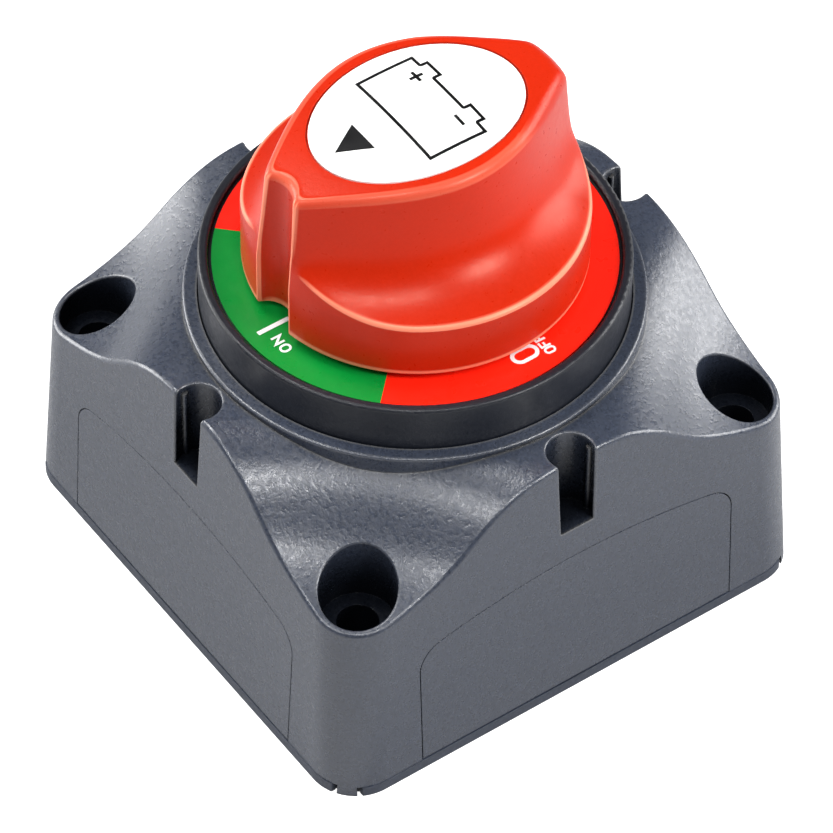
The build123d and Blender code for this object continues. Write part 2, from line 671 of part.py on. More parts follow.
with BuildPart() as cam_ring:
    with BuildSketch(Plane.XY.offset(CAM_FOOT_Z)):
        Circle(CAM_R + CAM_T)
        Circle(CAM_R, mode=Mode.SUBTRACT)
    extrude(amount=DECK_Z - CAM_FOOT_Z)
    with BuildSketch(Plane.XY.offset(DECK_Z - CAM_FLANGE_T)):
        Circle(DRUM_BORE_R - 0.1)
        Circle(CAM_R, mode=Mode.SUBTRACT)
        with module_screw_ring():
            Circle(SCREW_R + SCREW_FIT, mode=Mode.SUBTRACT)
    extrude(amount=CAM_FLANGE_T)
    slot_foot_z = PIN_Z - CAM_LEAD * CAM_OVER_RUN / 360
    for pin_angle in (90, 270):
        slot_place = Location((0, 0, slot_foot_z), (0, 0, pin_angle - CAM_OVER_RUN))
        add(cam_slot.part.moved(slot_place), mode=Mode.SUBTRACT)
save(cam_ring.part, "cam_ring")

with BuildPart() as spindle:
    for foot_z, top_z in ((SPINDLE_FOOT_Z, THRUST_TOP_Z), (SQUARE_Z, SPINDLE_TOP_Z)):
        with BuildSketch(Plane.XY.offset(foot_z)):
            Rectangle(SQUARE, SQUARE)
        extrude(amount=top_z - foot_z)
    for foot_z, top_z, shaft_r in (
        (THRUST_TOP_Z - THRUST_T, THRUST_TOP_Z, THRUST_R),
        (THRUST_TOP_Z, SQUARE_Z, SPINDLE_R),
    ):
        with BuildSketch(Plane.XY.offset(foot_z)):
            Circle(shaft_r)
        extrude(amount=top_z - foot_z)
    with BuildSketch(Plane.XY.offset(SPINDLE_TOP_Z)):
        Circle(KNOB_SCREW_R)
    extrude(amount=-SPINDLE_BORE_H, mode=Mode.SUBTRACT)
save(spindle.part, "spindle")

with BuildPart() as contact_spring:
    coil_foot_z = CARRIER_Z + CARRIER_T + SPRING_WIRE_R + SPRING_GAP
    coil_h = THRUST_TOP_Z - THRUST_T - SPRING_WIRE_R - SPRING_GAP - coil_foot_z
    with BuildLine():
        coil = Helix(coil_h / SPRING_TURNS, coil_h, SPRING_R, center=(0, 0, coil_foot_z))
    with BuildSketch(Plane(coil @ 0, z_dir=coil % 0)):
        Circle(SPRING_WIRE_R)
    sweep(path=coil, is_frenet=True)
save(contact_spring.part, "contact_spring")

# ================================================================ knob
def skirt_r(z):
    """Radius of the knob's leaning skirt at one height."""
    return KNOB_FOOT_R - KNOB_DRAFT * (z - KNOB_FOOT_Z)


def scoop_outline(fall):
    """Half outline of the grip at one level; fall is 0 at the top and 1 at the scoop's foot."""
    flare = fall ** 2.6
    radius = skirt_r(KNOB_TOP_Z - fall * (KNOB_TOP_Z - RIM_Z)) + 0.7 * fall ** 8
    front_x = GRIP_FRONT_X + 0.9 * fall + 4.0 * fall ** 6
    front_y = -sqrt(radius ** 2 - front_x ** 2)
    back_x = GRIP_BACK_X + 13.0 * fall ** 2
    back_y = sqrt(radius ** 2 - back_x ** 2)
    shoulder_foot = sqrt(RIM_R ** 2 - SHOULDER_Y ** 2)
    return [
        (front_x - 0.8, front_y - 3.5),
        (front_x, front_y),
        (SHOULDER_X + (shoulder_foot - SHOULDER_X) * flare, SHOULDER_Y),
        (GRIP_HALF + (RIM_R - GRIP_HALF) * flare, 0),
        (back_x, back_y),
        (back_x - 0.6, back_y + 4.0),
    ]


def dome(depth):
    """Ball whose crown lies this far under the knob's domed top."""
    with BuildPart(mode=Mode.PRIVATE) as ball:
        with Locations((0, 0, KNOB_TOP_Z - KNOB_DOME_R)):
            Sphere(KNOB_DOME_R - depth)
    return ball.part


with BuildPart() as scoop:
    # what the +X side's finger scoop takes off the knob
    for fall in (-0.15, 0.0, 0.2, 0.4, 0.6, 0.8, 0.9, 1.0):
        with BuildSketch(Plane.XY.offset(KNOB_TOP_Z - fall * (KNOB_TOP_Z - RIM_Z))):
            with BuildLine():
                grip_edge = Spline(*scoop_outline(max(fall, 0)))
                Polyline(grip_edge @ 1, (30, 26), (30, -26), grip_edge @ 0)
            make_face()
    loft()

with BuildPart() as label_seat:
    # recess for the oval label, parallel to the dome
    with BuildSketch(Plane.XY.offset(LABEL_LOW_Z)):
        Ellipse(LABEL_A + LABEL_GAP, LABEL_B + LABEL_GAP)
    extrude(amount=KNOB_TOP_Z + 1 - LABEL_LOW_Z)
    add(dome(LABEL_SINK), mode=Mode.SUBTRACT)

with BuildPart() as knob:
    with BuildSketch(Plane.XY.offset(KNOB_FOOT_Z)):
        Circle(KNOB_FOOT_R)
    extrude(amount=KNOB_TOP_Z - KNOB_FOOT_Z, taper=degrees(atan(KNOB_DRAFT)))
    add(dome(0), mode=Mode.INTERSECT)
    add(scoop.part, mode=Mode.SUBTRACT)
    add(mirror(scoop.part, about=Plane.YZ, mode=Mode.PRIVATE), mode=Mode.SUBTRACT)
    with BuildSketch(Plane.XY.offset(KNOB_FOOT_Z)):
        with Locations((0, -NOTCH_Y)):
            Ellipse(NOTCH_HALF, NOTCH_DEPTH)
    extrude(amount=KNOB_TOP_Z - KNOB_FOOT_Z, mode=Mode.SUBTRACT)
    # hollow underside: a shallow ring within the skirt and a deeper pocket in the grip
    with BuildSketch(Plane.XY.offset(KNOB_FOOT_Z)):
        Circle(KNOB_SHELL_R)
    extrude(amount=KNOB_RING_Z - KNOB_FOOT_Z, mode=Mode.SUBTRACT)
    with BuildSketch(Plane.XY.offset(KNOB_RING_Z)):
        Ellipse(KNOB_POCKET_A, KNOB_POCKET_B)
    extrude(amount=KNOB_POCKET_Z - KNOB_RING_Z, mode=Mode.SUBTRACT)
    # hub with a square socket, and the web that its screw clamps
    with BuildSketch(Plane.XY.offset(HUB_FOOT_Z)):
        Circle(HUB_R)
    extrude(amount=KNOB_POCKET_Z - HUB_FOOT_Z)
    with BuildSketch(Plane.XY.offset(HUB_FOOT_Z)):
        Circle(SPINDLE_R + 0.1)
    extrude(amount=SQUARE_Z - HUB_FOOT_Z, mode=Mode.SUBTRACT)
    with BuildSketch(Plane.XY.offset(SQUARE_Z)):
        Rectangle(SQUARE + 0.1, SQUARE + 0.1)
    extrude(amount=SPINDLE_TOP_Z + 0.1 - SQUARE_Z, mode=Mode.SUBTRACT)
    for foot_z, hole_r in (
        (SPINDLE_TOP_Z, KNOB_SCREW_R + 0.2),
        (KNOB_SCREW_SEAT_Z, KNOB_SCREW_HEAD_R + 0.6),
    ):
        with BuildSketch(Plane.XY.offset(foot_z)):
            Circle(hole_r)
        extrude(amount=KNOB_TOP_Z - foot_z, mode=Mode.SUBTRACT)
    add(label_seat.part, mode=Mode.SUBTRACT)
save(knob.part, "knob")

with BuildPart() as knob_screw:
    with Locations((0, 0, KNOB_SCREW_SEAT_Z)):
        Cylinder(KNOB_SCREW_R - 0.02, KNOB_SCREW_L, align=(Align.CENTER, Align.CENTER, Align.MAX))
        Cylinder(KNOB_SCREW_HEAD_R, KNOB_SCREW_HEAD_H, align=(Align.CENTER, Align.CENTER, Align.MIN))
    with Locations((0, 0, KNOB_SCREW_SEAT_Z + KNOB_SCREW_HEAD_H)):
        cross_recess(KNOB_SCREW_CROSS, KNOB_SCREW_CROSS_W, KNOB_SCREW_CROSS_H, Align.MAX)
    chamfer(knob_screw.edges().filter_by(GeomType.CIRCLE).group_by(Axis.Z)[-1], 0.5)
save(knob_screw.part, "knob_screw")

with BuildPart() as knob_label:
    with BuildSketch(Plane.XY.offset(LABEL_LOW_Z)):
        Ellipse(LABEL_A, LABEL_B)
    extrude(amount=KNOB_TOP_Z - LABEL_LOW_Z)
    add(dome(LABEL_SINK - LABEL_T), mode=Mode.INTERSECT)
    add(dome(LABEL_SINK), mode=Mode.SUBTRACT)
save(knob_label.part, "knob_label")

with BuildPart() as knob_marks:
    post_y = BATTERY_HEAD_Y + POST_H
    with BuildSketch(Plane.XY.offset(LABEL_LOW_Z)):
        # battery case with its two posts, drawn as one closed line
        with BuildLine():
            Polyline(
                (-BATTERY_HALF, BATTERY_FOOT_Y), (-BATTERY_HALF, BATTERY_HEAD_Y),
                (-POST_OUTER, BATTERY_HEAD_Y), (-POST_OUTER, post_y),
                (-POST_INNER, post_y), (-POST_INNER, BATTERY_HEAD_Y),
                (POST_INNER, BATTERY_HEAD_Y), (POST_INNER, post_y),
                (POST_OUTER, post_y), (POST_OUTER, BATTERY_HEAD_Y),
                (BATTERY_HALF, BATTERY_HEAD_Y), (BATTERY_HALF, BATTERY_FOOT_Y),
                close=True,
            )
        case = make_face()
        offset(case, amount=-LINE_W, mode=Mode.SUBTRACT)
        with Locations((-SIGN_X, SIGN_Y), (SIGN_X, SIGN_Y)):
            Rectangle(SIGN_W, LINE_W)
        with Locations((-SIGN_X, SIGN_Y)):
            Rectangle(LINE_W, SIGN_W)
        Polygon(
            (-POINTER_HALF, POINTER_FOOT_Y), (POINTER_HALF, POINTER_FOOT_Y), (0, POINTER_TIP_Y),
            align=None,
        )
    extrude(amount=KNOB_TOP_Z - LABEL_LOW_Z)
    add(dome(LABEL_SINK - LABEL_T - MARK_T), mode=Mode.INTERSECT)
    add(dome(LABEL_SINK - LABEL_T), mode=Mode.SUBTRACT)
save(knob_marks.part, "knob_marks")
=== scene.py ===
"""Looks of the battery isolator switch: moulded plastics, printed films and metals over the CAD frame.

The knob is rebuilt here as a finely divided closed form with soft creases, and the contact spring as
a wound wire. Everything else is the CAD model's own surface with a procedural material. Materials,
lights and the camera are in metres. The knob's and the spring's sizes are in millimetres, and MM
turns them into metres where their meshes are made.
"""
import json
from math import cos, degrees, hypot, pi, radians, sin, sqrt

import bmesh
import bpy
from mathutils import Matrix, Vector


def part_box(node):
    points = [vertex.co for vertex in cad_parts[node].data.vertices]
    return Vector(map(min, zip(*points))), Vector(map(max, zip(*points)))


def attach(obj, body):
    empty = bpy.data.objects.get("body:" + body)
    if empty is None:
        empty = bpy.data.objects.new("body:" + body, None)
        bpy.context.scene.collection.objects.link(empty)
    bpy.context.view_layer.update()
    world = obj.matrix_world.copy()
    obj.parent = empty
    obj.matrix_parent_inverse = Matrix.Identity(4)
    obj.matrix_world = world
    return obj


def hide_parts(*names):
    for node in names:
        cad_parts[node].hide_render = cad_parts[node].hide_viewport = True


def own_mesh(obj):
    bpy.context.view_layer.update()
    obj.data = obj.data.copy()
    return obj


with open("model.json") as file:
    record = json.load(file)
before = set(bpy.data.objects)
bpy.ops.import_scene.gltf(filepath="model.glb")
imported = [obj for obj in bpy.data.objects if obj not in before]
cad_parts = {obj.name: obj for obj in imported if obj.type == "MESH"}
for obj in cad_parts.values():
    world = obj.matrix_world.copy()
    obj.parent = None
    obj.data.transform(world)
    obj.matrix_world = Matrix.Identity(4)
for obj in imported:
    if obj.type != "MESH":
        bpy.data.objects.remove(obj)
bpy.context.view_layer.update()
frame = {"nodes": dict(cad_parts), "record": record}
nodes = frame["nodes"]
scene = bpy.context.scene
MM = 0.001
EDGE_RAYS = 6


# ---------------------------------------------------------------- material building
class Shader:
    """A principled material under construction, with short helpers for the nodes it needs."""

    def __init__(self, name):
        self.material = bpy.data.materials.new(name)
        self.material.use_nodes = True
        self.tree = self.material.node_tree
        self.surface = self.tree.nodes["Principled BSDF"]
        self.place = self.add("ShaderNodeTexCoord").outputs["Object"]

    def add(self, kind, **settings):
        node = self.tree.nodes.new(kind)
        for key, value in settings.items():
            setattr(node, key, value)
        return node

    def link(self, source, target):
        self.tree.links.new(source, target)

    def noise(self, per_metre, detail=3.0, rough=0.5, stretch=None):
        """Noise of about this many cells a metre, between 0 and 1."""
        node = self.add("ShaderNodeTexNoise")
        node.inputs["Scale"].default_value = per_metre
        node.inputs["Detail"].default_value = detail
        node.inputs["Roughness"].default_value = rough
        source = self.place
        if stretch:
            squeeze = self.add("ShaderNodeMapping")
            squeeze.inputs["Scale"].default_value = stretch
            self.link(source, squeeze.inputs["Vector"])
            source = squeeze.outputs["Vector"]
        self.link(source, node.inputs["Vector"])
        return node.outputs["Fac"]

    def spread(self, source, low, high, low_in=0.3, high_in=0.7):
        """A value remapped to run from low to high."""
        node = self.add("ShaderNodeMapRange")
        node.inputs["From Min"].default_value = low_in
        node.inputs["From Max"].default_value = high_in
        node.inputs["To Min"].default_value = low
        node.inputs["To Max"].default_value = high
        self.link(source, node.inputs["Value"])
        return node.outputs["Result"]

    def mix(self, factor, first, second, blend="MIX"):
        """Two colours mixed; each may be a colour or another node's output."""
        node = self.add("ShaderNodeMix", data_type="RGBA", blend_type=blend)
        if isinstance(factor, float):
            node.inputs[0].default_value = factor
        else:
            self.link(factor, node.inputs[0])
        for socket, colour in ((node.inputs[6], first), (node.inputs[7], second)):
            if isinstance(colour, tuple):
                socket.default_value = (*colour, 1)
            else:
                self.link(colour, socket)
        return node.outputs[2]

    def edge_mask(self, width, low, high):
        """1 on edges, where the painted edge highlight goes, and 0 elsewhere.

        low and high are cosines of the angle between the surface and its softened form.
        """
        bevel = self.add("ShaderNodeBevel", samples=EDGE_RAYS)
        bevel.inputs["Radius"].default_value = width
        flat = self.add("ShaderNodeNewGeometry").outputs["Normal"]
        turn = self.add("ShaderNodeVectorMath", operation="DOT_PRODUCT")
        self.link(bevel.outputs["Normal"], turn.inputs[0])
        self.link(flat, turn.inputs[1])
        return self.spread(turn.outputs["Value"], 1.0, 0.0, low, high)

    def openness(self, reach):
        """1 in the open, falling towards 0 in the piece's own recesses and inside corners."""
        node = self.add("ShaderNodeAmbientOcclusion", samples=EDGE_RAYS, only_local=True)
        node.inputs["Distance"].default_value = reach
        return node.outputs["AO"]

    def height(self, low, high):
        """0 below one height and 1 above another."""
        parts = self.add("ShaderNodeSeparateXYZ")
        self.link(self.place, parts.inputs["Vector"])
        return self.spread(parts.outputs["Z"], 0.0, 1.0, low, high)

    def relief(self, heights, edge_radius=0.0):
        """Surface normal from (height source, depth in metres) pairs over softened edges."""
        normal = None
        if edge_radius:
            bevel = self.add("ShaderNodeBevel", samples=EDGE_RAYS)
            bevel.inputs["Radius"].default_value = edge_radius
            normal = bevel.outputs["Normal"]
        for height, depth in heights:
            bump = self.add("ShaderNodeBump")
            bump.inputs["Distance"].default_value = depth
            self.link(height, bump.inputs["Height"])
            if normal:
                self.link(normal, bump.inputs["Normal"])
            normal = bump.outputs["Normal"]
        self.link(normal, self.surface.inputs["Normal"])

    def set(self, **values):
        """Principled inputs by name, with underscores for spaces; sources are linked."""
        for key, value in values.items():
            socket = self.surface.inputs[key.replace("_", " ")]
            if isinstance(value, bpy.types.NodeSocket):
                self.link(value, socket)
            elif isinstance(value, tuple):
                socket.default_value = (*value, 1)
            else:
                socket.default_value = value


def srgb(red, green, blue):
    """Scene colour of a display colour given as 0 to 255."""
    def channel(value):
        value /= 255
        return value / 12.92 if value <= 0.04045 else ((value + 0.055) / 1.055) ** 2.4
    return channel(red), channel(green), channel(blue)


def scaled(colour, factor):
    """A colour made lighter or darker, up to white."""
    return tuple(min(1.0, c * factor) for c in colour)


# Edges get a painted highlight, paler by EDGE_GAIN, and only above the side panels' outlines. Recesses
# get painted shade.
EDGE_WIDTH = 0.6 * MM
EDGE_TURN = (0.9, 0.99)
EDGE_GAIN = 3.2
# painted shade in recesses: how far it reaches, its range, how dark it paints and how little it reflects
EDGE_HIGHLIGHT_Z = 24 * MM
SHADE_REACH = 12 * MM
SHADE_RANGE = (0.35, 0.82)
SHADE_DARKNESS = 0.1
SHADE_SPECULAR = 0.06


def moulded_plastic(name, colour, roughness, grain=1.0, edge_radius=0.12 * MM, specular=0.5):
    """Satin moulding: fine spark-eroded grain, faint flow marks and a slight colour mottle."""
    look = Shader(name)
    fine = look.noise(3200, 4, 0.6)
    grit = look.noise(1500, 3, 0.55)
    broad = look.noise(55, 3, 0.5)
    darker = scaled(colour, 1 - 0.3 * grain)
    lighter = scaled(colour, 1 + 0.55 * grain)
    mottled = look.mix(look.spread(fine, 0.0, 1.0, 0.28, 0.72), darker, lighter)
    drifted = look.mix(look.spread(broad, 0.0, 0.25), mottled, scaled(colour, 1.25))
    # painted highlight: edges above the side panels' outlines are lightened towards a pale grey
    pale = sum(colour) / 3 * EDGE_GAIN
    edge_lit = look.mix(look.edge_mask(EDGE_WIDTH, *EDGE_TURN), drifted, (pale, pale, pale))
    edge_highlighted = look.mix(look.height(EDGE_HIGHLIGHT_Z, EDGE_HIGHLIGHT_Z + MM), drifted, edge_lit)
    # painted shade: the piece's own recesses are darkened, in colour and in reflection strength
    recess = look.openness(SHADE_REACH)
    recess_shade = look.spread(recess, 1.0, 0.0, *SHADE_RANGE)
    recess_shaded = look.mix(recess_shade, edge_highlighted, scaled(colour, SHADE_DARKNESS))
    look.set(
        Base_Color=recess_shaded,
        Roughness=look.spread(grit, roughness - 0.07, roughness + 0.09),
        Specular_IOR_Level=look.spread(recess, SHADE_SPECULAR, specular, *SHADE_RANGE),
    )
    look.relief(((fine, 0.02 * MM * grain), (grit, 0.03 * MM * grain)), edge_radius)
    return look.material


# The knob's edges get a painted highlight, paler from the first bend to the second, both in 1/mm.
EDGE_BEND = "edge_bend"
KNOB_EDGE_BEND = (0.5, 1.5)
KNOB_EDGE_HIGHLIGHT = srgb(255, 150, 118)
KNOB_SHEEN = (1.0, 0.72, 0.58)
KNOB_SHADE_REACH = 1.0 * MM


def knob_plastic(name, colour):
    """Bright satin moulding with a fine even grain."""
    look = Shader(name)
    fine = look.noise(2600, 4, 0.6)
    broad = look.noise(70, 2, 0.5)
    grit = look.noise(1300, 3, 0.6)
    body = look.mix(look.spread(broad, 0.0, 1.0), colour, scaled(colour, 0.9))
    speck = tuple(min(1, c * 1.5 + 0.01) for c in colour)
    speckled = look.mix(look.spread(fine, 0.0, 0.12), body, speck)
    # painted highlight on the knob's sharply bending outside edges
    bend = look.add("ShaderNodeAttribute", attribute_name=EDGE_BEND).outputs["Fac"]
    edge_highlighted = look.mix(look.spread(bend, 0.0, 0.8, *KNOB_EDGE_BEND), speckled, KNOB_EDGE_HIGHLIGHT)
    # painted shade in the knob's own small recesses, such as the groove round the label
    knob_shade = look.spread(look.openness(KNOB_SHADE_REACH), 1.0, 0.0, 0.2, 0.7)
    look.set(
        Base_Color=look.mix(knob_shade, edge_highlighted, scaled(colour, 0.2)),
        Roughness=look.spread(grit, 0.27, 0.35),
        Specular_IOR_Level=0.3,
        Specular_Tint=KNOB_SHEEN,
    )
    look.relief(((fine, 0.008 * MM), (grit, 0.012 * MM)))
    return look.material


def printed_film(name, colour, roughness=0.3, variation=0.06):
    """Printed dial or label film: slightly uneven ink and a very light orange peel."""
    look = Shader(name)
    peel = look.noise(420, 2, 0.4)
    ink = look.noise(1800, 3, 0.5)
    uneven = look.mix(look.spread(ink, 0.0, 1.0), colour, scaled(colour, 1 - variation))
    look.set(
        Base_Color=uneven,
        Roughness=look.spread(peel, roughness - 0.04, roughness + 0.06),
        Specular_IOR_Level=0.35,
    )
    look.relief(((peel, 0.006 * MM),))
    return look.material


def metal(name, colour, roughness, brushed=(1.0, 1.0, 8.0), tarnish=None):
    """Machined or rolled metal with tool marks, and darker patches where it has tarnished."""
    look = Shader(name)
    marks = look.noise(1400, 4, 0.6, stretch=brushed)
    patches = look.noise(220, 4, 0.6)
    dull = tarnish or scaled(colour, 0.72)
    look.set(
        Base_Color=look.mix(look.spread(patches, 0.0, 0.6, 0.4, 0.75), colour, dull),
        Metallic=1.0,
        Roughness=look.spread(marks, roughness - 0.08, roughness + 0.14),
    )
    look.relief(((marks, 0.012 * MM),), 0.1 * MM)
    return look.material


def rubber(name):
    """Matt black seal rubber with a dusty bloom."""
    look = Shader(name)
    bloom = look.noise(300, 4, 0.6)
    grain = look.noise(2400, 3, 0.6)
    look.set(
        Base_Color=look.mix(look.spread(bloom, 0.0, 1.0), (0.012, 0.012, 0.013), (0.035, 0.035, 0.036)),
        Roughness=look.spread(grain, 0.68, 0.85),
        Specular_IOR_Level=0.3,
    )
    look.relief(((grain, 0.02 * MM),))
    return look.material


HOUSING_COLOUR = srgb(44, 50, 63)
BEZEL_COLOUR = srgb(22, 25, 33)
KNOB_COLOUR = srgb(190, 34, 4)

FINISHES = {
    "housing_plastic": moulded_plastic("housing_plastic", HOUSING_COLOUR, 0.29, 1.3, specular=0.9),
    "cover_plastic": moulded_plastic("cover_plastic", HOUSING_COLOUR, 0.46),
    "bezel_plastic": moulded_plastic("bezel_plastic", BEZEL_COLOUR, 0.36, grain=0.6, specular=0.4),
    "seal_rubber": rubber("seal_rubber"),
    "drum_plastic": moulded_plastic("drum_plastic", srgb(34, 35, 38), 0.5),
    "steel": metal("steel", (0.6, 0.61, 0.63), 0.32),
    "dial_green": printed_film("dial_green", srgb(4, 136, 50)),
    "dial_red": printed_film("dial_red", srgb(245, 34, 14)),
    "print_white": printed_film("print_white", srgb(238, 240, 240), variation=0.03),
    "tinned_brass": metal("tinned_brass", (0.72, 0.69, 0.6), 0.3, tarnish=(0.55, 0.47, 0.32)),
    "copper": metal("copper", (0.8, 0.42, 0.26), 0.3, (1.0, 8.0, 1.0), (0.4, 0.18, 0.1)),
    "silver": metal("silver", (0.86, 0.85, 0.82), 0.2),
    "carrier_plastic": moulded_plastic("carrier_plastic", srgb(205, 196, 172), 0.45, grain=0.3),
    "spring_steel": metal("spring_steel", (0.5, 0.5, 0.52), 0.26),
    "brass": metal("brass", (0.8, 0.6, 0.28), 0.28, tarnish=(0.45, 0.3, 0.12)),
    "knob_plastic": knob_plastic("knob_plastic", KNOB_COLOUR),
    "label_white": printed_film("label_white", srgb(250, 250, 248), 0.35, 0.02),
    "print_black": printed_film("print_black", srgb(6, 6, 8), 0.35, 0.3),
}

for row in frame["record"]["subparts"]:
    node = nodes[row["node"]]
    node.data.materials.clear()
    node.data.materials.append(FINISHES[row["material_slot"]])


# ---------------------------------------------------------------- knob
# A closed loop of points is drawn in each upright half plane through the axis, and the loops are
# joined all the way round. Angles run from the pointer notch at -Y towards +X.
label_low, label_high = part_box("knob_label")

# skirt, top and the hollow underneath
FOOT_Z = 46.6
TOP_Z = 69.8
DOME_R = 88.0
SKIRT_R = 20.6
SKIRT_LEAN = 0.09
RIM_Z = 54.3
SHELL_R = 17.6
SHELL_TOP_Z = 50.0
POCKET_ACROSS = 9.0
POCKET_ALONG = 14.5
POCKET_TOP_Z = 63.0
HUB_R = 7.5
HUB_FOOT_Z = 46.0
SHAFT_R = 5.1
SHAFT_TOP_Z = 58.1
SCREW_R = 2.2
SCREW_SEAT_Z = 61.5
SCREW_HEAD_R = 4.1
# grip outline: half its width is GRIP_END + GRIP_WAIST * cos(pi * y / GRIP_WAVE)
GRIP_WAIST = 8.9
GRIP_END = 3.2
GRIP_WAVE = 38.0
GRIP_REACH = 24.0
HALVINGS = 30
FRONT_SOFTNESS = 0.3
BACK_SOFTNESS = 0.45
# scoops: (amount, angle in degrees where it starts, degrees it takes to grow to that amount)
SCOOP_TOP_Z = TOP_Z - 1
BROW_Z = TOP_Z - 1.5
FRONT_CREASE = (4.1, 55, 46)
BACK_CREASE = (4.0, 144, 28)
SCOOP_POWER = 5.6
FRONT_POWER = (3.4, 40, 40)
BACK_POWER = (1.4, 120, 50)
TOP_EDGE_R = 1.15
BACK_EDGE = (1.1, 125, 30)
# pointer notch, an upright elliptical groove centred at NOTCH_Y
NOTCH_HALF = 3.2
NOTCH_Y = 21.0
NOTCH_DEPTH = 2.8
# label seat
LABEL_GAP = 0.25
LABEL_A = (label_high.x - label_low.x) / 2 / MM + LABEL_GAP
LABEL_B = (label_high.y - label_low.y) / 2 / MM + LABEL_GAP
LABEL_SINK = 0.37
SEAT_MARGIN = 0.8
SEAT_WALL = 0.25
SEAT_EDGE = 0.06
RIM_SOFTNESS = 0.4
NOTCH_SOFTNESS = 0.3
FOOT_EDGE_R = 0.35
# how finely each stretch of the outline is divided, from the foot up and in over the top
FOOT_STEPS = 4
SKIRT_STEPS = 10
CREASE_BAND = 1.6
CREASE_STEPS = 18
SCOOP_STEPS = 34
BROW_STEPS = 12
TOP_STEPS = 8
SEAT_STEPS = 6
# half turn from the notch to the grip's back: (degrees at the end of a stretch, planes in it)
STRETCHES = ((26.0, 90), (155.0, 130), (180.0, 50))


def skirt(z):
    """Outside radius at one height: an upright skirt that leans in above the scoops' foot."""
    return SKIRT_R - SKIRT_LEAN * max(0.0, z - RIM_Z)


def dome(r):
    """Height of the domed top at one radius."""
    return TOP_Z - r * r / (2 * DOME_R)


def soft_max(value, softness):
    """The larger of a value and zero, with a rounded corner."""
    return (value + sqrt(value * value + softness * softness)) / 2


def grip_half(y):
    """Half width of the grip's top outline at one place along it."""
    return GRIP_END + GRIP_WAIST * cos(pi * y / GRIP_WAVE)


def outline_r(angle):
    """Radius of the grip's top outline, carried on past the skirt at the grip's two ends."""
    across = abs(sin(angle))
    along = abs(cos(angle))
    low, high = 0.0, GRIP_REACH
    for _ in range(HALVINGS):
        middle = (low + high) / 2
        if middle * across > grip_half(middle * along):
            high = middle
        else:
            low = middle
    return (low + high) / 2


def towards_front(angle, amount, start, over):
    """A value that grows with the square of the angle short of start, towards the notch."""
    return amount * (max(0.0, start - abs(degrees(angle))) / over) ** 2


def towards_back(angle, amount, start, over):
    """A value that grows with the square of the angle past start, towards the grip's back."""
    return amount * (max(0.0, abs(degrees(angle)) - start) / over) ** 2


def crease_z(angle):
    """Height where the finger scoop meets the skirt, rising towards both ends of the grip."""
    return RIM_Z + towards_front(angle, *FRONT_CREASE) + towards_back(angle, *BACK_CREASE)


def scoop_power(angle):
    """How late the scoop's face runs out to the crease; higher near the grip's ends."""
    return SCOOP_POWER + towards_front(angle, *FRONT_POWER) + towards_back(angle, *BACK_POWER)


def top_edge_r(angle):
    """Rounding between the domed top and the scoop, fuller towards the back of the grip."""
    amount, start, over = BACK_EDGE
    return TOP_EDGE_R + amount * min(1.0, max(0.0, (abs(degrees(angle)) - start) / over))


def notch_r(angle):
    """Radius of the pointer notch's wall, or None away from it."""
    u = sin(angle) / NOTCH_HALF
    v = cos(angle) / NOTCH_DEPTH
    a = u * u + v * v
    b = -2 * v * NOTCH_Y / NOTCH_DEPTH
    c = (NOTCH_Y / NOTCH_DEPTH) ** 2 - 1
    root = b * b - 4 * a * c
    if root <= 0 or cos(angle) < 0:
        return None
    return (-b - sqrt(root)) / (2 * a)


def wall_r(angle, z):
    """Outside radius of the knob at one angle and height."""
    end_softness = FRONT_SOFTNESS if cos(angle) > 0 else BACK_SOFTNESS
    top_depth = soft_max(skirt(TOP_Z) - outline_r(angle), end_softness)
    fall = (SCOOP_TOP_Z - z) / (SCOOP_TOP_Z - crease_z(angle))
    depth = top_depth * (1 - max(fall, 0.0) ** scoop_power(angle))
    softness = min(RIM_SOFTNESS, top_depth)
    r = skirt(z) - soft_max(depth, softness) + softness / 4
    r = min(r, skirt(z))
    hollow = notch_r(angle)
    if hollow is not None:
        r -= soft_max(r - hollow, NOTCH_SOFTNESS)
    return r


def oval_r(angle, across, along):
    """Radius of an oval about the axis at one angle."""
    return 1 / hypot(sin(angle) / across, cos(angle) / along)


def spaced(start, end, count):
    """Evenly spaced values from start up to but not including end."""
    return [start + (end - start) * i / count for i in range(count)]


